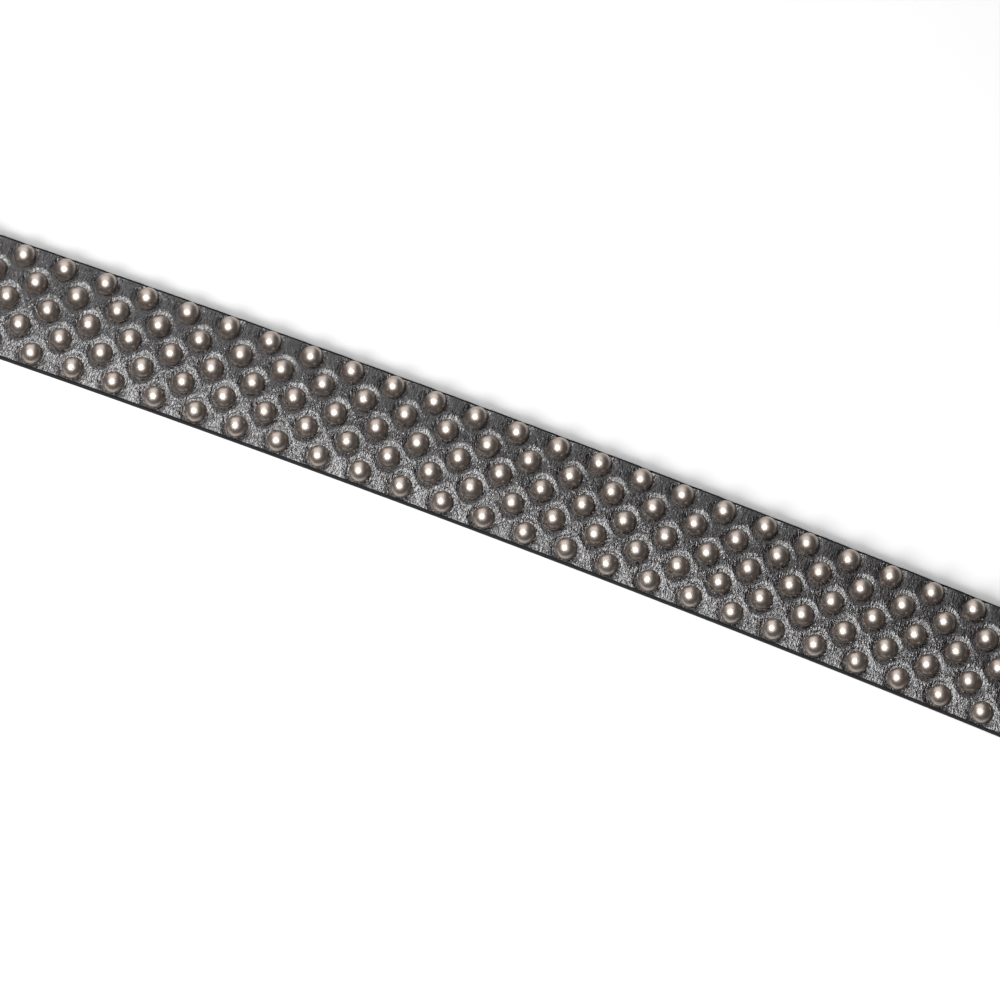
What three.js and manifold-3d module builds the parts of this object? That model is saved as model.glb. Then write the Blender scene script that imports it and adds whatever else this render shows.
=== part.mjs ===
// Studded leather belt, lying face up. Millimetres, +Z up.
// +X runs along the belt from the buckle to the tip and +Y across it. The origin is on the
// underside, below the middle of the stud field.
import * as THREE from 'three';
import { mergeVertices } from 'three/addons/utils/BufferGeometryUtils.js';
import Module from 'manifold-3d';

const wasm = await Module();
wasm.setup();

// Strap, lying in a very slight curve whose centre is on the -Y side
const STRAP_WIDTH = 38.4;
const STRAP_THICKNESS = 3.5;
const EDGE_BEVEL = 0.4;
const BOW_RADIUS = 6250;
const SECTION_STEP = 56;

// Studs, in rows along the belt, with every second row set half a pitch on
const FIELD_LENGTH = 644;
const STUD_PITCH = 14;
const STUD_ROWS = 5;
const STUD_DIAMETER = 7.2;
const STUD_HEIGHT = 2.7;
const STUD_EDGE_MARGIN = 0.65;
// How much nearer the field lies to the +Y edge than to the other
const STUD_FIELD_SHIFT = 0.3;
const STUD_SINK = 0.5;
const STUD_SIDES = 10;
// The shoulder of the dome, as shares of the stud's radius and height
const SHOULDER_OUT = 0.72;
const SHOULDER_UP = 0.7;

// Free end, punched with one row of holes and rounded at the tip
const FIELD_TO_HOLES = 36;
const HOLE_COUNT = 5;
const HOLE_SPACING = 25;
const HOLE_DIAMETER = 5;
const HOLE_SIDES = 16;
const HOLES_TO_TIP = 75;
const TIP_LENGTH = 26;
const TIP_FLAT_ANGLE = THREE.MathUtils.degToRad(9);
const TIP_STEPS = 9;

// Turn-back, the thinned end of the strap, folded under round the buckle's bar
const TURN_BACK_LENGTH = 62;
const TURN_BACK_THICKNESS = 2;
const TURN_BACK_TAPER = 12;
const TURN_BACK_EDGE = 0.9;
const FIELD_TO_RISE = 10;
const RISE_LENGTH = 22;
const RISE_MARGIN = 2;
const CLIMB_STEPS = 5;
const FOLD_STEPS = 8;
const CLEARANCE = 0.3;

// Keeper, a loop round the upper layer that holds the free end down
const KEEPER_WIDTH = 12;
const KEEPER_THICKNESS = 1.6;
const KEEPER_FROM_BAR = 15;
const KEEPER_MARGIN = 2;
const KEEPER_WEDGE = 9;
const KEEPER_SIDE_CLEARANCE = 0.6;
const KEEPER_TIP_CLEARANCE = 1.1;
const KEEPER_CORNER_RADIUS = 2.4;
// Half the number of straight steps in each rounded corner
const CORNER_STEPS = 2;

// Buckle: a three-sided frame, a round bar across its open side and a prong
const BAR_DIAMETER = 4;
const BAR_SIDES = 16;
const FRAME_REACH = 36;
const FRAME_HEEL = 4;
const FRAME_WALL = 6;
const FRAME_THICKNESS = 4;
const FRAME_BEVEL = 0.8;
const FRAME_SIDE_CLEARANCE = 1;
const FRAME_CORNER_RADIUS = 9;
const PRONG_WIDTH = 4;
const PRONG_THICKNESS = 2.4;
const PRONG_TIP_THICKNESS = 1.6;
const PRONG_RING_WALL = 1.4;
const PRONG_SEAT_DEPTH = 0.8;
const PRONG_OVERHANG = 1.5;
const PRONG_BEVEL = 0.4;
const SLOT_CLEARANCE = 1;

const LEATHER = { color: 0x464443, roughness: 0.5, metalness: 0 };
const AGED_METAL = { color: 0x968778, roughness: 0.35, metalness: 1 };

const HALF_WIDTH = STRAP_WIDTH / 2;
const STUD_RADIUS = STUD_DIAMETER / 2;
const STUD_COLUMNS = Math.floor(FIELD_LENGTH / STUD_PITCH) + 1;
const ROW_SPACING = (STRAP_WIDTH - 2 * (STUD_RADIUS + STUD_EDGE_MARGIN)) / (STUD_ROWS - 1);
const FIRST_HOLE_AT = FIELD_LENGTH / 2 + FIELD_TO_HOLES;
const TIP_AT = FIRST_HOLE_AT + (HOLE_COUNT - 1) * HOLE_SPACING + HOLES_TO_TIP;

// Heights of the flesh side of the upper layer over the turn-back, and places along the belt
const FOLD_RADIUS = BAR_DIAMETER / 2 + CLEARANCE;
const BAR_HEIGHT = TURN_BACK_THICKNESS + FOLD_RADIUS;
const GLUED_HEIGHT = TURN_BACK_THICKNESS + CLEARANCE;
const SEATED_HEIGHT = GLUED_HEIGHT + KEEPER_THICKNESS + CLEARANCE;
const RISE_AT = -FIELD_LENGTH / 2 - FIELD_TO_RISE;
const BAR_AT = RISE_AT - RISE_LENGTH - RISE_MARGIN - TURN_BACK_LENGTH;
const KEEPER_AT = BAR_AT + KEEPER_FROM_BAR;

const PRONG_RING_RADIUS = BAR_DIAMETER / 2 + PRONG_RING_WALL;
const SLOT_HALF_WIDTH = PRONG_WIDTH / 2 + SLOT_CLEARANCE;
const FRAME_INNER_HALF = HALF_WIDTH + FRAME_SIDE_CLEARANCE;

// Point of the lying belt, from its place along and across the strap and its height.
function bowed(along, across, height) {
  const turn = along / BOW_RADIUS;
  const reach = BOW_RADIUS + across;
  return new THREE.Vector3(reach * Math.sin(turn), reach * Math.cos(turn) - BOW_RADIUS, height);
}

// Place and heading of a rigid piece that sits on the belt.
function bowedPlace(along, across, height) {
  const matrix = new THREE.Matrix4().makeRotationZ(-along / BOW_RADIUS);
  return matrix.setPosition(bowed(along, across, height));
}

function toSolid(geometry) {
  const bare = geometry.clone();
  bare.deleteAttribute('normal');
  bare.deleteAttribute('uv');
  const merged = mergeVertices(bare, 1e-4);
  const corners = Array.from(merged.index.array);
  const triangles = [];
  for (let i = 0; i < corners.length; i += 3) {
    const [a, b, c] = corners.slice(i, i + 3);
    // The pole of a lathe gives triangles with two like corners, which are dropped.
    if (a !== b && b !== c && c !== a) {
      triangles.push(a, b, c);
    }
  }
  return new wasm.Manifold(new wasm.Mesh({
    numProp: 3,
    vertProperties: new Float32Array(merged.attributes.position.array),
    triVerts: new Uint32Array(triangles),
  }));
}

function toGeometry(solid) {
  const mesh = solid.getMesh();
  const geometry = new THREE.BufferGeometry();
  geometry.setAttribute('position', new THREE.BufferAttribute(mesh.vertProperties, 3));
  geometry.setIndex(new THREE.BufferAttribute(mesh.triVerts, 1));
  return geometry;
}

// Cylinder along Y
function cylinder(radius, height, sides) {
  return new THREE.CylinderGeometry(radius, radius, height, sides);
}

function join(solids) {
  return solids.reduce((joined, solid) => joined.add(solid));
}

function piece(name, solid, finish) {
  const geometry = toGeometry(solid).toNonIndexed();
  geometry.computeVertexNormals();
  const mesh = new THREE.Mesh(geometry, new THREE.MeshStandardMaterial(finish));
  mesh.name = name;
  return mesh;
}

// Cross-section of the strap. along and height give the middle of the flesh side, and
// outAlong and outUp the direction in which the grain side lies from it.
function section({ along, height, outAlong = 0, outUp = 1, thickness, halfWidth = HALF_WIDTH }) {
  const bevel = Math.min(EDGE_BEVEL, thickness / 4);
  const corners = [
    [bevel - halfWidth, 0],
    [-halfWidth, bevel],
    [-halfWidth, thickness - bevel],
    [bevel - halfWidth, thickness],
    [halfWidth - bevel, thickness],
    [halfWidth, thickness - bevel],
    [halfWidth, bevel],
    [halfWidth - bevel, 0],
  ];
  return corners.map(([across, out]) => bowed(along + outAlong * out, across, height + outUp * out));
}

function tipSections() {
  const sections = [];
  for (let i = 0; i < TIP_STEPS; i += 1) {
    const turn = THREE.MathUtils.lerp(TIP_FLAT_ANGLE, Math.PI / 2, i / TIP_STEPS);
    const share = 1 - Math.cos(turn) / Math.cos(TIP_FLAT_ANGLE);
    sections.push(section({
      along: TIP_AT - TIP_LENGTH * share,
      height: 0,
      thickness: STRAP_THICKNESS,
      halfWidth: HALF_WIDTH * Math.sin(turn),
    }));
  }
  return sections;
}

function flatSections() {
  const start = TIP_AT - TIP_LENGTH;
  const steps = Math.ceil((start - RISE_AT) / SECTION_STEP);
  const sections = [];
  for (let i = 0; i < steps; i += 1) {
    const along = THREE.MathUtils.lerp(start, RISE_AT, i / steps);
    sections.push(section({ along, height: 0, thickness: STRAP_THICKNESS }));
  }
  return sections;
}

// Stretches where the upper layer climbs towards the bar, the last one thinning for the fold
function climbs() {
  const wedgeAt = KEEPER_AT + KEEPER_WIDTH + KEEPER_MARGIN;
  return [
    { from: RISE_AT, to: RISE_AT - RISE_LENGTH, low: 0, high: GLUED_HEIGHT },
    { from: wedgeAt + KEEPER_WEDGE, to: wedgeAt, low: GLUED_HEIGHT, high: SEATED_HEIGHT },
    {
      from: KEEPER_AT - KEEPER_MARGIN,
      to: BAR_AT,
      low: SEATED_HEIGHT,
      high: BAR_HEIGHT + FOLD_RADIUS,
      thin: TURN_BACK_THICKNESS,
    },
  ];
}

function climbSections({ from, to, low, high, thin = STRAP_THICKNESS }) {
  const sections = [];
  for (let i = 0; i <= CLIMB_STEPS; i += 1) {
    const share = i / CLIMB_STEPS;
    const eased = THREE.MathUtils.smoothstep(share, 0, 1);
    // Rise of the flesh side for each millimetre towards the bar, from the slope of smoothstep
    const slope = 6 * share * (1 - share) * (high - low) / (from - to);
    const length = Math.hypot(1, slope);
    sections.push(section({
      along: THREE.MathUtils.lerp(from, to, share),
      height: THREE.MathUtils.lerp(low, high, eased),
      outAlong: slope / length,
      outUp: 1 / length,
      thickness: THREE.MathUtils.lerp(STRAP_THICKNESS, thin, share),
    }));
  }
  return sections;
}

function foldSections() {
  const sections = [];
  for (let i = 1; i <= FOLD_STEPS; i += 1) {
    const turn = Math.PI / 2 + Math.PI * i / FOLD_STEPS;
    sections.push(section({
      along: BAR_AT + FOLD_RADIUS * Math.cos(turn),
      height: BAR_HEIGHT + FOLD_RADIUS * Math.sin(turn),
      outAlong: Math.cos(turn),
      outUp: Math.sin(turn),
      thickness: TURN_BACK_THICKNESS,
    }));
  }
  return sections;
}

// The folded-under layer lies grain side down, and its last stretch is skived to an edge.
function turnBackSections() {
  const layer = (along, thickness) => section({ along, height: thickness, outUp: -1, thickness });
  return [
    layer(BAR_AT + TURN_BACK_LENGTH - TURN_BACK_TAPER, TURN_BACK_THICKNESS),
    layer(BAR_AT + TURN_BACK_LENGTH, TURN_BACK_EDGE),
  ];
}

// Closed skin through cross-sections that have the same number of corners.
function loft(sections) {
  const sides = sections[0].length;
  const triangles = [];
  for (let i = 0; i + 1 < sections.length; i += 1) {
    for (let k = 0; k < sides; k += 1) {
      const a = i * sides + k;
      const b = i * sides + (k + 1) % sides;
      triangles.push(a, b, b + sides, a, b + sides, a + sides);
    }
  }
  const last = (sections.length - 1) * sides;
  for (let k = 1; k + 1 < sides; k += 1) {
    triangles.push(0, k + 1, k);
    triangles.push(last, last + k, last + k + 1);
  }
  const geometry = new THREE.BufferGeometry().setFromPoints(sections.flat());
  geometry.setIndex(triangles);
  return geometry;
}

function bareStrap() {
  return toSolid(loft([
    ...tipSections(),
    ...flatSections(),
    ...climbs().flatMap(climbSections),
    ...foldSections(),
    ...turnBackSections(),
  ]));
}

function stud() {
  const shoulderOut = STUD_RADIUS * SHOULDER_OUT;
  const shoulderUp = STUD_HEIGHT * SHOULDER_UP;
  const flare = (STUD_RADIUS - shoulderOut) / shoulderUp;
  const profile = [
    new THREE.Vector2(0, -STUD_SINK),
    new THREE.Vector2(STUD_RADIUS + flare * STUD_SINK, -STUD_SINK),
    new THREE.Vector2(shoulderOut, shoulderUp),
    new THREE.Vector2(0, STUD_HEIGHT),
  ];
  // Turned half a side, so that a flat and not a corner faces each edge of the strap
  const dome = new THREE.LatheGeometry(profile, STUD_SIDES, Math.PI / STUD_SIDES);
  return toSolid(dome.rotateX(Math.PI / 2));
}

function studField() {
  const one = stud();
  const studs = [];
  for (let row = 0; row < STUD_ROWS; row += 1) {
    const shifted = row % 2;
    const across = STUD_FIELD_SHIFT + (row - (STUD_ROWS - 1) / 2) * ROW_SPACING;
    for (let column = 0; column < STUD_COLUMNS - shifted; column += 1) {
      const along = (column + shifted / 2 - (STUD_COLUMNS - 1) / 2) * STUD_PITCH;
      studs.push(one.transform(bowedPlace(along, across, STRAP_THICKNESS).elements));
    }
  }
  return join(studs);
}

function tipHoles() {
  const holes = [];
  for (let i = 0; i < HOLE_COUNT; i += 1) {
    const hole = cylinder(HOLE_DIAMETER / 2, 3 * STRAP_THICKNESS, HOLE_SIDES).rotateX(Math.PI / 2);
    holes.push(toSolid(hole.applyMatrix4(bowedPlace(FIRST_HOLE_AT + i * HOLE_SPACING, 0, 0))));
  }
  return join(holes);
}

// Slot through the fold and both layers, where the prong turns on the bar
function prongSlot() {
  const start = -FOLD_RADIUS - 2 * TURN_BACK_THICKNESS;
  const end = PRONG_RING_RADIUS + SLOT_CLEARANCE;
  const height = 2 * (BAR_HEIGHT + FOLD_RADIUS + STRAP_THICKNESS);
  const slot = new THREE.BoxGeometry(end - start, 2 * SLOT_HALF_WIDTH, height);
  slot.translate((start + end) / 2, 0, 0);
  const roundEnd = cylinder(SLOT_HALF_WIDTH, height, BAR_SIDES).rotateX(Math.PI / 2);
  roundEnd.translate(end, 0, 0);
  return toSolid(slot).add(toSolid(roundEnd)).transform(bowedPlace(BAR_AT, 0, BAR_HEIGHT).elements);
}

function studdedStrap() {
  const strap = bareStrap().add(studField()).subtract(tipHoles()).subtract(prongSlot());
  return piece('studded_strap', strap, LEATHER);
}

function roundedRectangle(outline, halfWidth, low, high, radius) {
  outline.moveTo(halfWidth, low + radius);
  outline.absarc(halfWidth - radius, high - radius, radius, 0, Math.PI / 2);
  outline.absarc(radius - halfWidth, high - radius, radius, Math.PI / 2, Math.PI);
  outline.absarc(radius - halfWidth, low + radius, radius, Math.PI, 1.5 * Math.PI);
  outline.absarc(halfWidth - radius, low + radius, radius, 1.5 * Math.PI, 2 * Math.PI);
  return outline;
}

// The keeper's lower side lies between the two layers, and its upper side leaves room for the tip.
function keeper() {
  const inside = HALF_WIDTH + KEEPER_SIDE_CLEARANCE;
  const low = GLUED_HEIGHT + KEEPER_THICKNESS;
  const high = SEATED_HEIGHT + 2 * STRAP_THICKNESS + KEEPER_TIP_CLEARANCE;
  const wall = KEEPER_THICKNESS;
  const outline = roundedRectangle(
    new THREE.Shape(), inside + wall, low - wall, high + wall, KEEPER_CORNER_RADIUS);
  outline.holes.push(roundedRectangle(
    new THREE.Path(), inside, low, high, Math.max(KEEPER_CORNER_RADIUS - wall, CLEARANCE)));
  const loop = new THREE.ExtrudeGeometry(outline, {
    depth: KEEPER_WIDTH,
    bevelEnabled: false,
    curveSegments: CORNER_STEPS,
  });
  // The outline's two axes turn to run across the belt and up, and the extrusion to run along it.
  const turned = new THREE.Matrix4().makeBasis(
    new THREE.Vector3(0, 1, 0), new THREE.Vector3(0, 0, 1), new THREE.Vector3(1, 0, 0));
  const mesh = piece('keeper', toSolid(loop.applyMatrix4(turned)), LEATHER);
  mesh.position.copy(bowed(KEEPER_AT, 0, 0));
  mesh.rotation.z = -KEEPER_AT / BOW_RADIUS;
  return mesh;
}

function buckleFrame() {
  const outer = FRAME_INNER_HALF + FRAME_WALL;
  const inner = FRAME_INNER_HALF;
  const far = FRAME_REACH - FRAME_WALL;
  const bend = FRAME_CORNER_RADIUS;
  const innerBend = Math.max(bend - FRAME_WALL, CLEARANCE);
  const outline = new THREE.Shape();
  outline.moveTo(FRAME_HEEL, inner);
  outline.lineTo(FRAME_HEEL, outer);
  outline.absarc(bend - FRAME_REACH, outer - bend, bend, Math.PI / 2, Math.PI);
  outline.absarc(bend - FRAME_REACH, bend - outer, bend, Math.PI, 1.5 * Math.PI);
  outline.lineTo(FRAME_HEEL, -outer);
  outline.lineTo(FRAME_HEEL, -inner);
  outline.absarc(innerBend - far, innerBend - inner, innerBend, 1.5 * Math.PI, Math.PI, true);
  outline.absarc(innerBend - far, inner - innerBend, innerBend, Math.PI, Math.PI / 2, true);
  const depth = FRAME_THICKNESS - 2 * FRAME_BEVEL;
  const frame = new THREE.ExtrudeGeometry(outline, {
    depth,
    bevelThickness: FRAME_BEVEL,
    bevelSize: FRAME_BEVEL,
    bevelOffset: -FRAME_BEVEL,
    bevelSegments: 1,
    curveSegments: 2 * CORNER_STEPS,
  });
  return toSolid(frame.translate(0, 0, -depth / 2));
}

// The prong grows out of its ring on the bar and lies in a seat in the far side of the frame.
function buckleProng() {
  const tip = -FRAME_REACH - PRONG_OVERHANG;
  const seat = FRAME_THICKNESS / 2 - PRONG_SEAT_DEPTH;
  const side = new THREE.Shape([
    new THREE.Vector2(0, PRONG_RING_RADIUS - PRONG_THICKNESS),
    new THREE.Vector2(0, PRONG_RING_RADIUS),
    new THREE.Vector2(tip, seat + PRONG_TIP_THICKNESS),
    new THREE.Vector2(tip, seat),
  ]);
  const depth = PRONG_WIDTH - 2 * PRONG_BEVEL;
  const prong = new THREE.ExtrudeGeometry(side, {
    depth,
    bevelThickness: PRONG_BEVEL,
    bevelSize: PRONG_BEVEL,
    bevelOffset: -PRONG_BEVEL,
    bevelSegments: 1,
  });
  prong.translate(0, 0, -depth / 2).rotateX(Math.PI / 2);
  return toSolid(prong).add(toSolid(cylinder(PRONG_RING_RADIUS, PRONG_WIDTH, BAR_SIDES)));
}

// The bar is held above the floor by the fold, so the frame tilts until its far side rests on it.
function buckleTilt() {
  const toCorner = Math.hypot(FRAME_REACH - FRAME_BEVEL, FRAME_THICKNESS / 2);
  return Math.asin(BAR_HEIGHT / toCorner) - Math.asin(FRAME_THICKNESS / 2 / toCorner);
}

function buckle() {
  const barLength = 2 * FRAME_INNER_HALF + FRAME_WALL;
  const bar = toSolid(cylinder(BAR_DIAMETER / 2, barLength, BAR_SIDES));
  const mesh = piece('buckle', join([buckleFrame(), bar, buckleProng()]), AGED_METAL);
  mesh.rotation.y = -buckleTilt();
  const seat = new THREE.Group();
  seat.position.copy(bowed(BAR_AT, 0, BAR_HEIGHT));
  seat.rotation.z = -BAR_AT / BOW_RADIUS;
  seat.add(mesh);
  return seat;
}

const studdedBelt = new THREE.Group();
studdedBelt.add(studdedStrap(), keeper(), buckle());

export default studdedBelt;
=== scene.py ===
"""Looks of a studded leather belt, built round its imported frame. Lengths are in metres.

+X runs along the belt from the buckle to the tip, +Y across it, and +Z out of the studded face.
"""

import math
from collections import namedtuple

import bmesh
import bpy
import numpy as np
from bpy.props import FloatProperty, FloatVectorProperty, IntProperty, PointerProperty
from mathutils import Matrix, Vector


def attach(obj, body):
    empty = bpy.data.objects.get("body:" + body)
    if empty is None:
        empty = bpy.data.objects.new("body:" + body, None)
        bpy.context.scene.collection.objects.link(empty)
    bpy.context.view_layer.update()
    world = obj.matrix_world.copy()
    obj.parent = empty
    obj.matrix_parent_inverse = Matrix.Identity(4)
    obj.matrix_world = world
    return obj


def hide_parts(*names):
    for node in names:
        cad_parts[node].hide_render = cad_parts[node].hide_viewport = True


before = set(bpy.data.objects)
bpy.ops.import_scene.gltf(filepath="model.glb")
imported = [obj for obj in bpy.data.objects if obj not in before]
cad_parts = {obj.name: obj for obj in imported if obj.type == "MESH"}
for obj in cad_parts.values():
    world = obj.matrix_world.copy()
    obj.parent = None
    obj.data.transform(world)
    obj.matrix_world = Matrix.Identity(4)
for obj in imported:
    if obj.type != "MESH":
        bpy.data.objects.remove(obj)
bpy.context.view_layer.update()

bl_info = {
    "name": "Studded Belt",
    "version": (1, 0, 0),
    "blender": (4, 5, 0),
    "location": "3D View > Sidebar > Studded Belt",
    "description": "Builds a studded leather belt with its buckle, keeper and stitches",
    "category": "Mesh",
}

MM = 0.001
BODY = "root"
SEED = 7


# Sizes and colours that a user would change


def length(name, description, default):
    """A length property whose default is given in millimetres."""
    return FloatProperty(name=name, description=description, default=default * MM, unit="LENGTH", precision=5)


class StrapSizes(bpy.types.PropertyGroup):
    """Sizes of the leather strap"""

    width: length("Width", "Width of the strap", 38.4)
    thickness: length("Thickness", "Thickness of the strap where it is single", 3.5)
    bow_radius: length("Bow radius", "Radius of the slight curve in which the belt lies", 6250)
    crown: length("Crown", "How much lower the edges of the grain side lie than its middle", 1.2)
    edge_round: length("Edge rounding", "Radius of the upper edges", 0.25)
    edge_lap: length("Edge lap", "How far the edge dye runs over onto the grain side", 0.3)
    tip_length: length("Tip length", "Length over which the free end is rounded", 26)
    hole_diameter: length("Hole diameter", "Diameter of the punched holes", 5)
    hole_spacing: length("Hole spacing", "Distance from one punched hole to the next", 25)
    hole_count: IntProperty(name="Holes", description="Number of punched holes", default=5, min=1)
    field_to_holes: length("Field to holes", "From the last stud to the first punched hole", 36)
    holes_to_tip: length("Holes to tip", "From the last punched hole to the end of the tip", 75)


class TurnBackSizes(bpy.types.PropertyGroup):
    """Sizes of the end that is folded under round the bar of the buckle"""

    length: length("Length", "Length of the layer that is folded under", 62)
    thickness: length("Thickness", "Thickness of the thinned leather in the fold", 2)
    taper: length("Taper", "Length over which its end is skived", 12)
    edge: length("Edge", "Thickness left at its skived end", 0.9)
    field_to_rise: length("Field to rise", "From the first stud to where the strap starts to rise", 10)
    rise: length("Rise", "Length over which the strap climbs onto the folded layer", 22)
    rise_margin: length("Rise margin", "From the end of the rise to the end of the folded layer", 2)
    clearance: length("Clearance", "Gap between touching pieces", 0.3)


class StudSizes(bpy.types.PropertyGroup):
    """Sizes of the studs and of their field"""

    field: length("Field", "Length of the stud field between its first and last columns", 644)
    pitch: length("Pitch", "Distance from one stud to the next in its row", 14)
    rows: IntProperty(name="Rows", description="Number of rows across the strap", default=5, min=1)
    diameter: length("Diameter", "Diameter of a stud", 7.2)
    height: length("Height", "Height of a dome above the flat of the strap", 2.7)
    edge_margin: length("Edge margin", "Leather left between an outer stud and the edge", 0.65)
    shift: length("Shift", "How much nearer the field lies to the +Y edge than to the other", 0.3)
    dimple: length("Dimple", "How deep a stud presses the leather down round itself", 0.5)
    dimple_reach: length("Dimple reach", "How far from a stud's middle its dimple reaches", 5.3)


class StitchSizes(bpy.types.PropertyGroup):
    """Sizes of the stitches that close the turn-back"""

    thread: length("Thread", "Thickness of the thread", 0.7)
    pitch: length("Pitch", "Distance from one stitch to the next", 3.6)
    count: IntProperty(name="Count", description="Stitches along each edge", default=6, min=1)
    from_bar: length("From bar", "From the bar of the buckle to the first stitch", 41)
    inset: length("Inset", "From the edge of the strap to the stitches", 3)


class KeeperSizes(bpy.types.PropertyGroup):
    """Sizes of the keeper loop"""

    width: length("Width", "Width of the loop along the belt", 12)
    thickness: length("Thickness", "Thickness of its leather", 1.6)
    from_bar: length("From bar", "From the bar of the buckle to the loop", 15)
    margin: length("Margin", "Flat stretch of strap left on each side of the loop", 2)
    wedge: length("Wedge", "Length over which the layers close behind the loop", 9)
    side_clearance: length("Side clearance", "Gap between the loop and each edge of the strap", 0.6)
    tip_clearance: length("Tip clearance", "Spare height over the free end in the loop", 1.1)
    corner: length("Corner", "Outer radius of its corners", 2.4)


class BuckleSizes(bpy.types.PropertyGroup):
    """Sizes of the buckle"""

    bar: length("Bar", "Diameter of the bar", 4)
    prong_width: length("Prong width", "Width of the prong", 4)
    ring_wall: length("Ring wall", "Wall of the prong's ring round the bar", 1.4)
    slot_clearance: length("Slot clearance", "Gap between the prong's ring and its slot in the strap", 1)
    edge_round: length("Edge rounding", "Radius to which tumbling has worn the edges", 0.25)


class StageSettings(bpy.types.PropertyGroup):
    """Camera, lights and floor"""

    azimuth: FloatProperty(name="Azimuth", description="Turn of the camera round the belt",
                           default=math.radians(21.33), subtype="ANGLE")
    elevation: FloatProperty(name="Elevation", description="Angle of the camera above the floor",
                             default=math.radians(74.28), subtype="ANGLE")
    distance: length("Distance", "From the camera to its aim", 1532.6)
    aim: FloatVectorProperty(name="Aim", description="Point that the camera looks at",
                             default=(2.8 * MM, -7.61 * MM, 3.5 * MM), subtype="XYZ", unit="LENGTH")
    lens: FloatProperty(name="Lens", description="Focal length in millimetres", default=175)
    floor_size: length("Floor", "Side of the square floor", 6000)


class BeltSettings(bpy.types.PropertyGroup):
    """Everything that shapes the belt"""

    strap: PointerProperty(type=StrapSizes)
    turn_back: PointerProperty(type=TurnBackSizes)
    studs: PointerProperty(type=StudSizes)
    stitches: PointerProperty(type=StitchSizes)
    keeper: PointerProperty(type=KeeperSizes)
    buckle: PointerProperty(type=BuckleSizes)
    stage: PointerProperty(type=StageSettings)


def settings():
    return bpy.context.scene.studded_belt


# Places along the belt, worked out from the sizes


def first_hole_at():
    belt = settings()
    return belt.studs.field / 2 + belt.strap.field_to_holes


def tip_at():
    strap = settings().strap
    return first_hole_at() + (strap.hole_count - 1) * strap.hole_spacing + strap.holes_to_tip


def rise_at():
    belt = settings()
    return -belt.studs.field / 2 - belt.turn_back.field_to_rise


def bar_at():
    turn_back = settings().turn_back
    return rise_at() - turn_back.rise - turn_back.rise_margin - turn_back.length


def fold_radius():
    belt = settings()
    return belt.buckle.bar / 2 + belt.turn_back.clearance


def bar_height():
    return settings().turn_back.thickness + fold_radius()


def glued_height():
    turn_back = settings().turn_back
    return turn_back.thickness + turn_back.clearance


def seated_height():
    belt = settings()
    return glued_height() + belt.keeper.thickness + belt.turn_back.clearance


def bowed(along, across, height):
    """Points of the lying belt, from their places along and across the strap and their heights."""
    radius = settings().strap.bow_radius
    along, across, height = np.broadcast_arrays(along, across, height)
    turn = along / radius
    reach = radius + across
    return np.stack([reach * np.sin(turn), reach * np.cos(turn) - radius, height], axis=-1)


def bowed_place(along, across, height):
    """Place and heading of a rigid piece on the belt, as a matrix."""
    turn = Matrix.Rotation(-along / settings().strap.bow_radius, 4, "Z")
    return Matrix.Translation(Vector(bowed(along, across, height))) @ turn


def stud_seats():
    """Place along and across the strap of each stud, row by row."""
    belt = settings()
    studs = belt.studs
    columns = int(studs.field / studs.pitch + 0.5) + 1
    inset = studs.diameter / 2 + studs.edge_margin
    spacing = (belt.strap.width - 2 * inset) / (studs.rows - 1)
    seats = []
    for row in range(studs.rows):
        shifted = row % 2
        across = studs.shift + (row - (studs.rows - 1) / 2) * spacing
        for column in range(columns - shifted):
            along = (column + shifted / 2 - (columns - 1) / 2) * studs.pitch
            seats.append((along, across))
    return np.array(seats)


# Mesh helpers


def smoothstep(share):
    share = np.clip(share, 0, 1)
    return share * share * (3 - 2 * share)


def new_object(name, vertices, faces, materials, face_materials=None, sharp=35):
    """A smooth-shaded mesh object in the scene, with edges sharper than the given angle kept."""
    mesh = bpy.data.meshes.new(name)
    mesh.from_pydata([tuple(point) for point in vertices], [], [tuple(face) for face in faces])
    for material in materials:
        mesh.materials.append(material)
    if face_materials is not None:
        mesh.polygons.foreach_set("material_index", np.asarray(face_materials, dtype=np.int32))
    finish_mesh(mesh, sharp)
    obj = bpy.data.objects.new(name, mesh)
    bpy.context.scene.collection.objects.link(obj)
    return obj


def finish_mesh(mesh, sharp):
    mesh.validate()
    mesh.update()
    mesh.shade_smooth()
    mesh.set_sharp_from_angle(angle=math.radians(sharp))


def loft_faces(sections, sides, closed=False):
    """Quads between rings of corners, and a cap at each end unless the loft closes on itself."""
    faces = []
    for i in range(sections if closed else sections - 1):
        low = i * sides
        high = (i + 1) % sections * sides
        for k in range(sides):
            after = (k + 1) % sides
            faces.append((low + k, low + after, high + after, high + k))
    if not closed:
        faces.append(tuple(range(sides - 1, -1, -1)))
        faces.append(tuple(range((sections - 1) * sides, sections * sides)))
    return faces


def apply_cut(obj, cutter):
    """Cuts one object out of another and deletes the cutter."""
    cut = obj.modifiers.new("cut", "BOOLEAN")
    cut.operation = "DIFFERENCE"
    cut.solver = "EXACT"
    cut.object = cutter
    graph = bpy.context.evaluated_depsgraph_get()
    mesh = bpy.data.meshes.new_from_object(obj.evaluated_get(graph))
    obj.modifiers.remove(cut)
    old = obj.data
    obj.data = mesh
    bpy.data.meshes.remove(old)
    bpy.data.objects.remove(cutter)


def place(obj, matrix):
    """Moves an object's vertices, so that its own origin stays at the frame's."""
    obj.data.transform(matrix)
    obj.data.update()


# Materials


def linear(hex_colour):
    """An sRGB hex value as linear red, green, blue and alpha."""
    channels = [int(hex_colour[i:i + 2], 16) / 255 for i in (1, 3, 5)]
    return [c / 12.92 if c <= 0.04045 else ((c + 0.055) / 1.055) ** 2.4 for c in channels] + [1]


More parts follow.
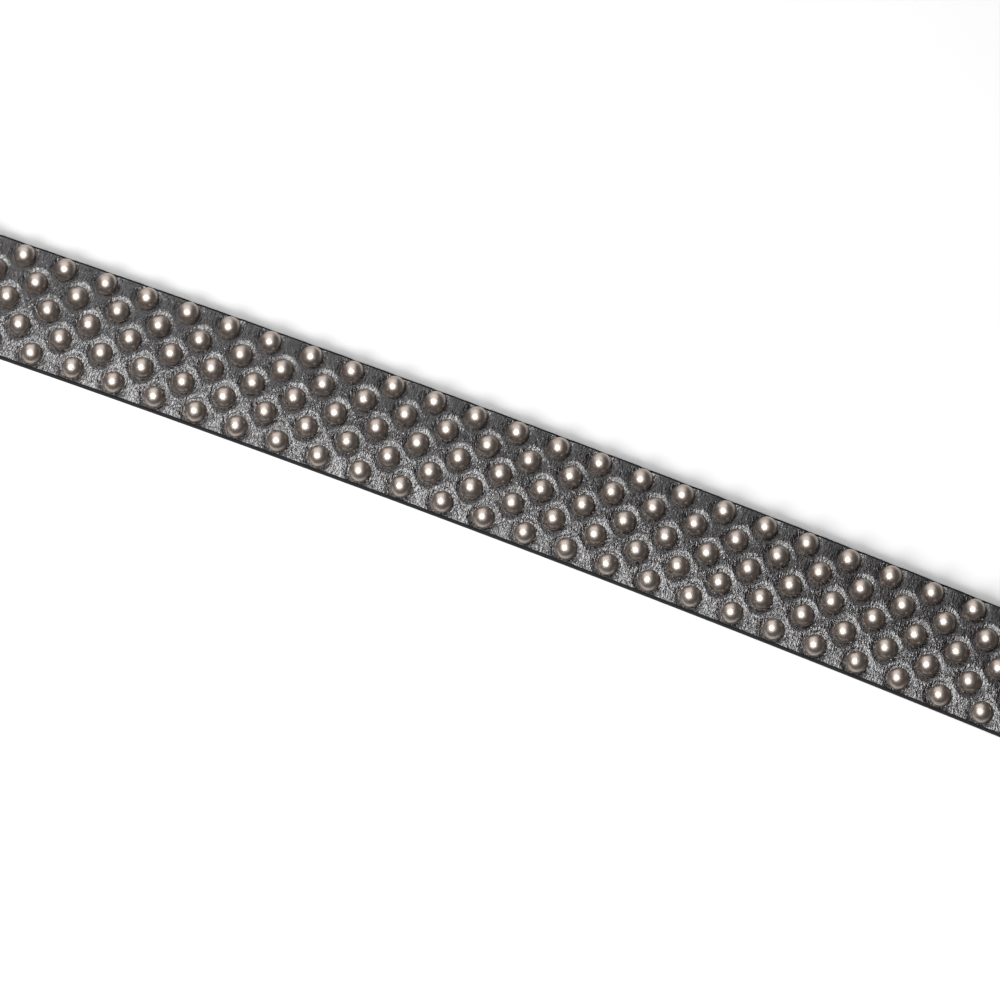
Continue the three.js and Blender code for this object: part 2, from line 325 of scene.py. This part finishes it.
def add_node(tree, kind, inputs=None, **options):
    """Adds a node. inputs gives each socket, by name or number, a value or the socket to link from."""
    node = tree.nodes.new(kind)
    for name, value in options.items():
        setattr(node, name, value)
    for name, value in (inputs or {}).items():
        if isinstance(value, bpy.types.NodeSocket):
            tree.links.new(value, node.inputs[name])
        else:
            node.inputs[name].default_value = value
    return node


def mixed_colour(tree, factor, low, high):
    """Adds a mix of two sRGB hex colours."""
    # Mix has sockets of the same name for each kind of data, so its colours are set by number.
    return add_node(
        tree, "ShaderNodeMix", {"Factor": factor, 6: linear(low), 7: linear(high)}, data_type="RGBA")


def new_material(name):
    """An empty material with its tree, its shader and its surface position in millimetres."""
    material = bpy.data.materials.new(name)
    material.use_nodes = True
    tree = material.node_tree
    tree.nodes.clear()
    shader = add_node(tree, "ShaderNodeBsdfPrincipled")
    add_node(tree, "ShaderNodeOutputMaterial", {"Surface": shader.outputs["BSDF"]})
    position = add_node(tree, "ShaderNodeTexCoord").outputs["Object"]
    millimetres = add_node(tree, "ShaderNodeVectorMath", {0: position, "Scale": 1 / MM}, operation="SCALE")
    return material, tree, shader, millimetres.outputs["Vector"]


def shared(make):
    """The material that a function makes, made once and then used again."""
    return bpy.data.materials.get(make.__name__) or make()


def finished_cowhide():
    """Chrome-tanned cowhide, dyed black under a clear lacquer, finely wrinkled across the belt.

    Bending has creased the lacquer into wrinkles about 0.5 mm along the belt and 1.6 mm across it,
    which the eye sees as short pale strokes wherever the surface leans towards the light.
    """
    material, tree, shader, place_mm = new_material("finished_cowhide")
    stretched = add_node(tree, "ShaderNodeVectorMath", {
        0: place_mm, 1: (1 / 0.5, 1 / 1.6, 1 / 0.5)}, operation="MULTIPLY")
    wrinkles = add_node(tree, "ShaderNodeTexNoise", {
        "Vector": stretched.outputs["Vector"], "Scale": 1.0, "Detail": 2.0, "Distortion": 0.6})
    pores = add_node(tree, "ShaderNodeTexNoise", {"Vector": place_mm, "Scale": 4.0, "Detail": 2.0})
    patches = add_node(tree, "ShaderNodeTexNoise", {"Vector": place_mm, "Scale": 0.06, "Detail": 3.0})
    strength = add_node(tree, "ShaderNodeMapRange", {
        "Value": patches.outputs["Fac"], "From Min": 0.35, "From Max": 0.65, "To Min": 0.75, "To Max": 1.0})
    bump = add_node(tree, "ShaderNodeBump", {
        "Strength": strength.outputs["Result"], "Distance": 0.38 * MM, "Height": wrinkles.outputs["Fac"]})
    # The base colour follows the wrinkles' height and is darker in their valleys: painted shade in the
    # creases.
    shade = mixed_colour(tree, wrinkles.outputs["Fac"], "#090708", "#110e10")
    gloss = add_node(tree, "ShaderNodeMapRange", {
        "Value": pores.outputs["Fac"], "To Min": 0.18, "To Max": 0.32})
    tree.links.new(shade.outputs[2], shader.inputs["Base Color"])
    tree.links.new(gloss.outputs["Result"], shader.inputs["Roughness"])
    tree.links.new(bump.outputs["Normal"], shader.inputs["Normal"])
    tree.links.new(bump.outputs["Normal"], shader.inputs["Coat Normal"])
    shader.inputs["Coat Weight"].default_value = 1.0
    shader.inputs["Coat Roughness"].default_value = 0.15
    shader.inputs["Coat IOR"].default_value = 1.6
    return material


def edge_paint():
    """Cut edge dyed black: raw matted fibres that swallow the light, with hardly any sheen."""
    material, tree, shader, place_mm = new_material("edge_paint")
    uneven = add_node(tree, "ShaderNodeTexNoise", {"Vector": place_mm, "Scale": 0.8, "Detail": 3.0})
    bump = add_node(tree, "ShaderNodeBump", {
        "Strength": 0.6, "Distance": 0.08 * MM, "Height": uneven.outputs["Fac"]})
    gloss = add_node(tree, "ShaderNodeMapRange", {
        "Value": uneven.outputs["Fac"], "To Min": 0.8, "To Max": 0.95})
    shader.inputs["Specular IOR Level"].default_value = 0.12
    tree.links.new(gloss.outputs["Result"], shader.inputs["Roughness"])
    tree.links.new(bump.outputs["Normal"], shader.inputs["Normal"])
    shader.inputs["Base Color"].default_value = linear("#171718")
    return material


def flesh_side():
    """Dyed flesh side of the hide: short matted fibres, dull and slightly greyer than the grain side."""
    material, tree, shader, place_mm = new_material("flesh_side")
    fibres = add_node(tree, "ShaderNodeTexNoise", {
        "Vector": place_mm, "Scale": 2.5, "Detail": 4.0, "Distortion": 1.5})
    shade = mixed_colour(tree, fibres.outputs["Fac"], "#211f1e", "#4a4644")
    bump = add_node(tree, "ShaderNodeBump", {
        "Strength": 0.8, "Distance": 0.15 * MM, "Height": fibres.outputs["Fac"]})
    tree.links.new(shade.outputs[2], shader.inputs["Base Color"])
    tree.links.new(bump.outputs["Normal"], shader.inputs["Normal"])
    shader.inputs["Roughness"].default_value = 0.92
    return material


def aged_nickel(name, light, dark, base=None, rise=None):
    """Antique nickel plate, tumbled and lacquered: warm grey and satin, with a random patina.

    With base given, each dome is also darker towards its foot: painted shade where it meets the leather. base
    and rise give the height at which this painted shade starts and how far it fades upwards.
    """
    material, tree, shader, place_mm = new_material(name)
    patina = add_node(tree, "ShaderNodeTexNoise", {"Vector": place_mm, "Scale": 0.9, "Detail": 4.0})
    worn = patina.outputs["Fac"]
    if base is not None:
        height = add_node(tree, "ShaderNodeSeparateXYZ", {"Vector": place_mm}).outputs["Z"]
        # Lighter with height above the foot: painted shade at the foot of each dome, where it meets the
        # leather.
        painted_foot_shade = add_node(tree, "ShaderNodeMapRange", {
            "Value": height, "From Min": base / MM, "From Max": (base + rise) / MM,
            "To Min": 0.0, "To Max": 0.75})
        # worn is the random patina with the painted shade at the foot laid over it.
        worn = add_node(tree, "ShaderNodeMath", {
            0: patina.outputs["Fac"], 1: 0.5, 2: painted_foot_shade.outputs["Result"]},
            operation="MULTIPLY_ADD", use_clamp=True).outputs["Value"]
    shade = mixed_colour(tree, worn, dark, light)
    scuffs = add_node(tree, "ShaderNodeTexNoise", {"Vector": place_mm, "Scale": 6.0, "Detail": 3.0})
    gloss = add_node(tree, "ShaderNodeMapRange", {
        "Value": scuffs.outputs["Fac"], "To Min": 0.34, "To Max": 0.46})
    bump = add_node(tree, "ShaderNodeBump", {
        "Strength": 0.25, "Distance": 0.02 * MM, "Height": scuffs.outputs["Fac"]})
    tree.links.new(shade.outputs[2], shader.inputs["Base Color"])
    tree.links.new(gloss.outputs["Result"], shader.inputs["Roughness"])
    tree.links.new(bump.outputs["Normal"], shader.inputs["Normal"])
    shader.inputs["Metallic"].default_value = 1.0
    return material


def waxed_thread():
    """Black bonded polyester thread, waxed and twisted: small slanting plies with a dull sheen."""
    material, tree, shader, place_mm = new_material("waxed_thread")
    plies = add_node(tree, "ShaderNodeTexWave", {
        "Vector": place_mm, "Scale": 1.6, "Distortion": 0.5}, bands_direction="DIAGONAL")
    bump = add_node(tree, "ShaderNodeBump", {
        "Strength": 0.7, "Distance": 0.06 * MM, "Height": plies.outputs["Fac"]})
    tree.links.new(bump.outputs["Normal"], shader.inputs["Normal"])
    shader.inputs["Base Color"].default_value = linear("#232223")
    shader.inputs["Roughness"].default_value = 0.6
    return material


def matte_card():
    """Pale matte card for the floor, with a faint tooth."""
    material, tree, shader, place_mm = new_material("matte_card")
    tooth = add_node(tree, "ShaderNodeTexNoise", {"Vector": place_mm, "Scale": 1.5, "Detail": 2.0})
    bump = add_node(tree, "ShaderNodeBump", {
        "Strength": 0.1, "Distance": 0.02 * MM, "Height": tooth.outputs["Fac"]})
    tree.links.new(bump.outputs["Normal"], shader.inputs["Normal"])
    shader.inputs["Base Color"].default_value = linear("#a0a0a0")
    shader.inputs["Roughness"].default_value = 0.9
    return material


# Strap

Station = namedtuple("Station", "along height out_along out_up thickness half_width facing")

GRAIN_STEPS = 60
FLESH_STEPS = 4
EDGE_STEPS = 5
FIELD_STEP = 0.7 * MM
PLAIN_STEP = 1.5 * MM
CLIMB_STEP = 1.0 * MM
FOLD_STEPS = 24
TIP_STEPS = 30
TIP_FLAT_ANGLE = math.radians(2)
LOWER_ROUND = 0.35 * MM


def stretch(start, end, step):
    """Even places from start up to, but without, end."""
    return np.linspace(start, end, max(2, math.ceil(abs(end - start) / step)), endpoint=False)


def tip_stations(strap):
    stations = []
    for turn in np.linspace(TIP_FLAT_ANGLE, math.pi / 2, TIP_STEPS, endpoint=False):
        from_end = strap.tip_length * (1 - math.cos(turn))
        # The very end is rounded over like the edges.
        rounding = max(0.0, 1 - from_end / strap.edge_round)
        drop = strap.edge_round * (1 - math.sqrt(1 - rounding ** 2))
        stations.append(Station(
            tip_at() - from_end, 0.0, 0.0, 1.0, strap.thickness - drop,
            strap.width / 2 * math.sin(turn), 1.0))
    return stations


def flat_stations(belt):
    half_field = belt.studs.field / 2 + belt.studs.dimple_reach
    places = [
        *stretch(tip_at() - belt.strap.tip_length, half_field, PLAIN_STEP),
        *stretch(half_field, -half_field, FIELD_STEP),
        *stretch(-half_field, rise_at(), PLAIN_STEP),
    ]
    thickness = belt.strap.thickness
    return [Station(along, 0.0, 0.0, 1.0, thickness, belt.strap.width / 2, 1.0) for along in places]


def climb(start, end, low, high, thick, thin, half_width):
    """Stations over which the upper layer climbs smoothly and may thin, on its way to the bar."""
    stations = []
    steps = math.ceil((start - end) / CLIMB_STEP)
    for share in np.linspace(0, 1, steps + 1):
        slope = 6 * share * (1 - share) * (high - low) / (start - end)
        size = math.hypot(1, slope)
        stations.append(Station(
            start + (end - start) * share, low + (high - low) * float(smoothstep(share)),
            slope / size, 1 / size, thick + (thin - thick) * share, half_width, 1.0))
    return stations


def climb_stations(belt):
    half_width = belt.strap.width / 2
    thick = belt.strap.thickness
    keeper_at = bar_at() + belt.keeper.from_bar
    wedge_at = keeper_at + belt.keeper.width + belt.keeper.margin
    return [
        *climb(rise_at(), rise_at() - belt.turn_back.rise, 0.0, glued_height(), thick, thick, half_width),
        *climb(wedge_at + belt.keeper.wedge, wedge_at, glued_height(), seated_height(),
               thick, thick, half_width),
        *climb(keeper_at - belt.keeper.margin, bar_at(), seated_height(), bar_height() + fold_radius(),
               thick, belt.turn_back.thickness, half_width),
    ]


def fold_stations(belt):
    """Round the bar, then back under the strap with the grain side on the floor."""
    half_width = belt.strap.width / 2
    turn_back = belt.turn_back
    stations = []
    for i in range(1, FOLD_STEPS + 1):
        turn = math.pi / 2 + math.pi * i / FOLD_STEPS
        stations.append(Station(
            bar_at() + fold_radius() * math.cos(turn), bar_height() + fold_radius() * math.sin(turn),
            math.cos(turn), math.sin(turn), turn_back.thickness, half_width,
            max(0.0, math.sin(turn))))
    taper_at = bar_at() + turn_back.length - turn_back.taper
    for along in stretch(bar_at() + PLAIN_STEP, taper_at, PLAIN_STEP):
        stations.append(Station(
            along, turn_back.thickness, 0.0, -1.0, turn_back.thickness, half_width, 0.0))
    for along in np.linspace(taper_at, taper_at + turn_back.taper, 6):
        thickness = turn_back.thickness + (turn_back.edge - turn_back.thickness) * (
            along - taper_at) / turn_back.taper
        stations.append(Station(along, thickness, 0.0, -1.0, thickness, half_width, 0.0))
    return stations


def crown_drop(across, half_width, belt):
    """How far the crowned grain side lies below the strap's mean thickness: less than 0 in its middle."""
    return belt.strap.crown * (across ** 2 - half_width ** 2 / 2) / (belt.strap.width / 2) ** 2


def dimple_depth(along, across, seats, belt):
    """How far the studs press the grain side down, from the distance to the nearest one."""
    studs = belt.studs
    nearest = np.full(along.shape, np.inf)
    for row in np.unique(seats[:, 1]):
        places = seats[seats[:, 1] == row][:, 0]
        index = np.clip(np.rint((along - places[0]) / studs.pitch), 0, len(places) - 1)
        away = along - places[0] - index * studs.pitch
        nearest = np.minimum(nearest, np.hypot(away, across - row))
    inner = studs.diameter / 2
    return studs.dimple * (1 - smoothstep((nearest - inner) / (studs.dimple_reach - inner)))


SWELL_LENGTHS = (4 * MM, 5 * MM, 7 * MM, 9 * MM, 13 * MM, 18 * MM)
SWELL_STEEPNESS = 0.0022


def soft_unevenness(along, across):
    """Gentle random swells of the hide, a few hundredths of a millimetre high."""
    random = np.random.default_rng(SEED)
    height = np.zeros(along.shape)
    for wavelength in SWELL_LENGTHS:
        heading = random.uniform(0, math.pi)
        phase = random.uniform(0, 2 * math.pi)
        along_wave = along * math.cos(heading) + across * math.sin(heading)
        height += SWELL_STEEPNESS * wavelength * np.sin(2 * math.pi * along_wave / wavelength + phase)
    return height


def section_profile(station, belt):
    """Cross-section corners as arrays of across and out, and the finish of each side of the ring."""
    half = station.half_width
    thickness = station.thickness
    upper = min(belt.strap.edge_round, thickness / 3, half / 2)
    lower = min(LOWER_ROUND, thickness / 4, half / 4)
    lap = min(belt.strap.edge_lap, half / 4)
    inner = np.linspace(half - upper - lap, upper + lap - half, GRAIN_STEPS + 1)
    grain = np.concatenate([[half - upper], inner, [upper - half]])
    turns = np.linspace(0, math.pi / 2, EDGE_STEPS + 1)
    arc_across = half - upper + upper * np.sin(turns)
    arc_out = thickness - upper + upper * np.cos(turns)
    low_across = half - lower + lower * np.cos(turns[::2])
    low_out = lower - lower * np.sin(turns[::2])
    flesh = np.linspace(lower - half, half - lower, FLESH_STEPS + 1)[1:-1]
    across = np.concatenate([
        grain, -arc_across[1:], -low_across, flesh, low_across[::-1], arc_across[:0:-1]])
    out = np.concatenate([
        np.full(grain.shape, thickness), arc_out[1:], low_out, np.zeros(flesh.shape),
        low_out[::-1], arc_out[:0:-1]])
    edge = EDGE_STEPS + len(low_across)
    finishes = [1] + [0] * GRAIN_STEPS + [1] * (edge + 1) + [2] * FLESH_STEPS + [1] * edge
    return across, out, finishes


def strap_mesh(belt):
    stations = [
        *tip_stations(belt.strap), *flat_stations(belt), *climb_stations(belt), *fold_stations(belt)]
    seats = stud_seats()
    rings = []
    for station in stations:
        across, out, finishes = section_profile(station, belt)
        upper_share = np.clip(out / station.thickness, 0, 1) ** 2 * station.facing
        along = np.full(across.shape, station.along)
        drop = crown_drop(across, station.half_width, belt)
        if station.height == 0 and station.out_up == 1:
            drop = drop + dimple_depth(along, across, seats, belt) - soft_unevenness(along, across)
        out = out - upper_share * drop
        rings.append(bowed(
            station.along + station.out_along * out, across, station.height + station.out_up * out))
    sides = len(finishes)
    faces = loft_faces(len(rings), sides)
    face_finishes = finishes * (len(rings) - 1) + [1, 1]
    return np.concatenate(rings), faces, face_finishes


def prism(name, radius, start, end, low, high, material, sides=32):
    """Upright cutter with round ends from start to end along X, about the belt's middle line."""
    turns = 2 * math.pi * (np.arange(sides) + 0.5) / sides
    outline = np.stack([radius * np.cos(turns) + np.where(np.cos(turns) > 0, end, start),
                        radius * np.sin(turns)], axis=-1)
    rings = [np.column_stack([outline, np.full(sides, height)]) for height in (low, high)]
    return new_object(name, np.concatenate(rings), loft_faces(2, sides), material)


def build_strap():
    belt = settings()
    finishes = [shared(finished_cowhide), shared(edge_paint), shared(flesh_side)]
    vertices, faces, face_finishes = strap_mesh(belt)
    strap = new_object("strap_leather", vertices, faces, finishes, face_finishes)
    through = 3 * belt.strap.thickness
    for i in range(belt.strap.hole_count):
        hole = prism("hole", belt.strap.hole_diameter / 2, 0, 0, -through, through, [finishes[1]])
        place(hole, bowed_place(first_hole_at() + i * belt.strap.hole_spacing, 0, 0))
        apply_cut(strap, hole)
    buckle = belt.buckle
    slot_radius = buckle.prong_width / 2 + buckle.slot_clearance
    slot_end = buckle.bar / 2 + buckle.ring_wall + buckle.slot_clearance
    high = 3 * bar_height()
    slot = prism("slot", slot_radius, -3 * fold_radius(), slot_end, -high, high, [finishes[1]])
    place(slot, bowed_place(bar_at(), 0, 0))
    apply_cut(strap, slot)
    finish_mesh(strap.data, 35)
    return strap


# Studs

DOME_SIDES = 28
DOME_STEPS = 8
STUD_TILT = math.radians(1.2)


def dome_profile(radius, height):
    """Radius and height of each ring of a dome, from its foot to just under its top."""
    turns = np.linspace(0, math.pi / 2, DOME_STEPS, endpoint=False)
    foot = [(radius, -0.3 * height)]
    return foot + [(radius * math.cos(turn), height * math.sin(turn)) for turn in turns]


def build_studs():
    belt = settings()
    studs = belt.studs
    height = studs.height + studs.dimple
    profile = dome_profile(studs.diameter / 2, height)
    turns = 2 * math.pi * np.arange(DOME_SIDES) / DOME_SIDES
    rings = [np.column_stack([r * np.cos(turns), r * np.sin(turns), np.full(DOME_SIDES, z)])
             for r, z in profile]
    one = np.concatenate(rings + [[[0, 0, height]]])
    one_faces = loft_faces(len(profile), DOME_SIDES)[:-1]
    top = len(one) - 1
    last = (len(profile) - 1) * DOME_SIDES
    one_faces += [(last + k, last + (k + 1) % DOME_SIDES, top) for k in range(DOME_SIDES)]
    random = np.random.default_rng(SEED)
    vertices = []
    faces = []
    for count, (along, across) in enumerate(stud_seats()):
        lie = math.atan(2 * belt.strap.crown * across / (belt.strap.width / 2) ** 2)
        tilt = random.normal(0, STUD_TILT, 2)
        floor = belt.strap.thickness - crown_drop(across, belt.strap.width / 2, belt) - studs.dimple
        matrix = (bowed_place(along, across, floor) @ Matrix.Rotation(-lie + tilt[0], 4, "X")
                  @ Matrix.Rotation(tilt[1], 4, "Y"))
        grid = np.array(matrix)
        vertices.append(one @ grid[:3, :3].T + grid[:3, 3])
        faces += [tuple(corner + count * len(one) for corner in face) for face in one_faces]
    # foot and 1.6 mm set the painted shade at the foot of the domes: it starts at the lowest foot and fades
    # out 1.6 mm higher.
    foot = belt.strap.thickness - belt.strap.crown - studs.dimple
    finish = aged_nickel("aged_nickel_studs", "#aea49d", "#48403b", foot, 1.6 * MM)
    return new_object("dome_studs", np.concatenate(vertices), faces, [finish], sharp=80)


# Keeper, buckle and stitches


def rounded_box_path(half_width, low, high, radius, steps=6):
    """Closed outline across the belt and up, counter-clockwise seen from the tip."""
    corners = [(half_width - radius, high - radius, 0), (radius - half_width, high - radius, 1),
               (radius - half_width, low + radius, 2), (half_width - radius, low + radius, 3)]
    points = []
    for across, height, quarter in corners:
        for turn in (quarter + np.linspace(0, 1, steps + 1)) * math.pi / 2:
            points.append((across + radius * math.cos(turn), height + radius * math.sin(turn),
                           math.cos(turn), math.sin(turn)))
    return points


def build_keeper():
    belt = settings()
    keeper = belt.keeper
    wall = keeper.thickness
    middle = rounded_box_path(
        belt.strap.width / 2 + keeper.side_clearance, glued_height() + wall,
        seated_height() + 2 * belt.strap.thickness + keeper.tip_clearance,
        max(keeper.corner - wall, 0.3 * MM))
    half = keeper.width / 2
    bevel = 0.4 * MM
    profile = [(-half, bevel), (bevel - half, 0), (half - bevel, 0), (half, bevel),
               (half, wall - bevel), (half - bevel, wall), (bevel - half, wall), (-half, wall - bevel)]
    rings = []
    for across, height, out_across, out_up in middle:
        rings += [(along, across + out_across * out, height + out_up * out) for along, out in profile]
    faces = loft_faces(len(middle), len(profile), closed=True)
    # Round the profile: the second side is the inner face and the sixth the outer one.
    face_finishes = [1, 2, 1, 1, 1, 0, 1, 1] * len(middle)
    finishes = [shared(finished_cowhide), shared(edge_paint), shared(flesh_side)]
    loop = new_object("keeper_loop", rings, faces, finishes, face_finishes)
    place(loop, bowed_place(bar_at() + keeper.from_bar + half, 0, 0))
    return loop


FLAT_JOIN = math.radians(1)
SHARP_EDGE = math.radians(25)


def build_buckle():
    """The buckle's solid with its edges rounded, as tumbling leaves a casting."""
    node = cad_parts["buckle"]
    form = bmesh.new()
    form.from_mesh(node.data)
    bmesh.ops.remove_doubles(form, verts=form.verts, dist=0.001 * MM)
    bmesh.ops.dissolve_limit(form, angle_limit=FLAT_JOIN, verts=form.verts, edges=form.edges)
    edges = [edge for edge in form.edges if edge.calc_face_angle(0) > SHARP_EDGE]
    bmesh.ops.bevel(form, geom=edges, offset=settings().buckle.edge_round, segments=2, profile=0.5,
                    affect="EDGES", clamp_overlap=True)
    mesh = bpy.data.meshes.new("buckle_metal")
    form.to_mesh(mesh)
    form.free()
    mesh.materials.clear()
    mesh.materials.append(aged_nickel("aged_nickel_buckle", "#b3a89b", "#6a6057"))
    finish_mesh(mesh, 40)
    buckle = bpy.data.objects.new("buckle_metal", mesh)
    bpy.context.scene.collection.objects.link(buckle)
    place(buckle, node.matrix_world)
    return buckle


STITCH_STEPS = 8
THREAD_SIDES = 8
# Half of a stitch's length as a share of the pitch, and in thread radii its height and how far its ends dip.
STITCH_HALF = 0.46
STITCH_RISE = 0.5
STITCH_DIP = 2


def stitch_rings(along, across, height, stitches):
    """One stitch: a thread that comes up out of its hole, lies on the leather and goes down again."""
    radius = stitches.thread / 2
    turns = 2 * math.pi * np.arange(THREAD_SIDES) / THREAD_SIDES
    rings = []
    for share in np.linspace(-1, 1, STITCH_STEPS + 1):
        middle = height + radius * (STITCH_RISE - STITCH_DIP * share ** 4)
        rings.append(bowed(along + share * STITCH_HALF * stitches.pitch, across + radius * np.cos(turns),
                           middle + radius * np.sin(turns)))
    return np.concatenate(rings)


def build_stitches():
    belt = settings()
    stitches = belt.stitches
    half_width = belt.strap.width / 2
    inset = half_width - stitches.inset
    height = glued_height() + belt.strap.thickness - crown_drop(inset, half_width, belt)
    vertices = []
    faces = []
    for across in (-inset, inset):
        for i in range(stitches.count):
            along = bar_at() + stitches.from_bar + i * stitches.pitch
            start = len(vertices) * (STITCH_STEPS + 1) * THREAD_SIDES
            vertices.append(stitch_rings(along, across, height, stitches))
            faces += [tuple(corner + start for corner in face)
                      for face in loft_faces(STITCH_STEPS + 1, THREAD_SIDES)]
    return new_object("turn_back_stitches", np.concatenate(vertices), faces, [waxed_thread()])


# Operators


class BELT_OT_strap(bpy.types.Operator):
    """Build the leather strap with its dimples, holes and folded end"""

    bl_idname = "belt.strap"
    bl_label = "Build strap"

    def execute(self, context):
        strap = build_strap()
        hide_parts("studded_strap")
        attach(strap, BODY)
        return {"FINISHED"}


class BELT_OT_studs(bpy.types.Operator):
    """Build the field of domed studs"""

    bl_idname = "belt.studs"
    bl_label = "Build studs"

    def execute(self, context):
        studs = build_studs()
        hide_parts("studded_strap")
        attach(studs, BODY)
        return {"FINISHED"}


class BELT_OT_keeper(bpy.types.Operator):
    """Build the keeper loop"""

    bl_idname = "belt.keeper"
    bl_label = "Build keeper"

    def execute(self, context):
        keeper = build_keeper()
        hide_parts("keeper")
        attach(keeper, BODY)
        return {"FINISHED"}


class BELT_OT_buckle(bpy.types.Operator):
    """Build the buckle with its worn edges"""

    bl_idname = "belt.buckle"
    bl_label = "Build buckle"

    def execute(self, context):
        buckle = build_buckle()
        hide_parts("buckle")
        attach(buckle, BODY)
        return {"FINISHED"}


class BELT_OT_stitches(bpy.types.Operator):
    """Sew the turn-back along both edges"""

    bl_idname = "belt.stitches"
    bl_label = "Build stitches"

    def execute(self, context):
        stitches = build_stitches()
        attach(stitches, BODY)
        return {"FINISHED"}


# Stage

Softbox = namedtuple("Softbox", "name direction size watts mirrored")

# The low one throws the soft shadow beyond the far edge, and the domes don't mirror it.
SOFTBOXES = (
    Softbox("key_softbox", (-0.25, -0.17, 0.95), 1.04, 28, True),
    Softbox("far_softbox", (-0.50, 0.62, 0.60), 1.8, 13, True),
    Softbox("low_softbox", (-0.25, -0.80, 0.50), 1.2, 90, False),
)
SOFTBOX_DISTANCE = 1.6
ROOM_BRIGHTNESS = 0.1
FLOOR_DROP = 0.02 * MM
SENSOR_WIDTH = 36


def aim_at(obj, target):
    obj.rotation_euler = (Vector(target) - obj.location).to_track_quat("-Z", "Y").to_euler()


def add_softbox(box):
    """A square soft light that stands in a direction from the belt and faces it."""
    light = bpy.data.lights.new(box.name, "AREA")
    light.shape = "SQUARE"
    light.size = box.size
    light.energy = box.watts
    obj = bpy.data.objects.new(box.name, light)
    bpy.context.scene.collection.objects.link(obj)
    obj.location = Vector(box.direction).normalized() * SOFTBOX_DISTANCE
    obj.visible_glossy = box.mirrored
    aim_at(obj, (0, 0, 0))


def add_camera(stage):
    azimuth, elevation = stage.azimuth, stage.elevation
    back = Vector((math.sin(azimuth) * math.cos(elevation), -math.cos(azimuth) * math.cos(elevation),
                   math.sin(elevation)))
    right = Vector((math.cos(azimuth), math.sin(azimuth), 0))
    upward = back.cross(right)
    camera = bpy.data.objects.new("camera", bpy.data.cameras.new("camera"))
    camera.data.lens = stage.lens
    camera.data.sensor_width = SENSOR_WIDTH
    rotation = Matrix((right, upward, back)).transposed().to_4x4()
    camera.matrix_world = Matrix.Translation(Vector(stage.aim) + back * stage.distance) @ rotation
    bpy.context.scene.collection.objects.link(camera)
    bpy.context.scene.camera = camera


def add_world():
    """Dim grey room"""
    world = bpy.data.worlds.new("room")
    world.use_nodes = True
    world.node_tree.nodes["Background"].inputs["Color"].default_value = linear("#ffffff")
    world.node_tree.nodes["Background"].inputs["Strength"].default_value = ROOM_BRIGHTNESS
    bpy.context.scene.world = world


def add_floor(stage):
    half = stage.floor_size / 2
    corners = [(-half, -half, 0), (half, -half, 0), (half, half, 0), (-half, half, 0)]
    floor = new_object("floor", [(x, y, -FLOOR_DROP) for x, y, z in corners], [(0, 1, 2, 3)],
                       [matte_card()])


class BELT_OT_stage(bpy.types.Operator):
    """Set up the floor, the lights and the camera"""

    bl_idname = "belt.stage"
    bl_label = "Set up stage"

    def execute(self, context):
        stage = settings().stage
        add_floor(stage)
        add_world()
        for box in SOFTBOXES:
            add_softbox(box)
        add_camera(stage)
        context.scene.view_settings.view_transform = "Standard"
        context.scene.view_settings.look = "Medium High Contrast"
        return {"FINISHED"}


class BELT_PT_panel(bpy.types.Panel):
    """Buttons and sizes of the belt"""

    bl_idname = "BELT_PT_panel"
    bl_label = "Studded Belt"
    bl_space_type = "VIEW_3D"
    bl_region_type = "UI"
    bl_category = "Studded Belt"

    def draw(self, context):
        for operator in OPERATORS:
            self.layout.operator(operator.bl_idname)
        for group in GROUPS:
            part = getattr(context.scene.studded_belt, group)
            box = self.layout.box()
            box.label(text=group.replace("_", " ").capitalize())
            for name in part.__annotations__:
                box.prop(part, name)


GROUPS = ("strap", "turn_back", "studs", "stitches", "keeper", "buckle", "stage")
OPERATORS = (BELT_OT_strap, BELT_OT_studs, BELT_OT_stitches, BELT_OT_keeper, BELT_OT_buckle,
             BELT_OT_stage)
CLASSES = (StrapSizes, TurnBackSizes, StudSizes, StitchSizes, KeeperSizes, BuckleSizes, StageSettings,
           BeltSettings, *OPERATORS, BELT_PT_panel)


def register():
    for cls in CLASSES:
        bpy.utils.register_class(cls)
    bpy.types.Scene.studded_belt = PointerProperty(type=BeltSettings)


def unregister():
    del bpy.types.Scene.studded_belt
    for cls in reversed(CLASSES):
        bpy.utils.unregister_class(cls)


def main():
    register()
    for operator in OPERATORS:
        category, name = operator.bl_idname.split(".")
        getattr(getattr(bpy.ops, category), name)()


if __name__ == "__main__":
    main()
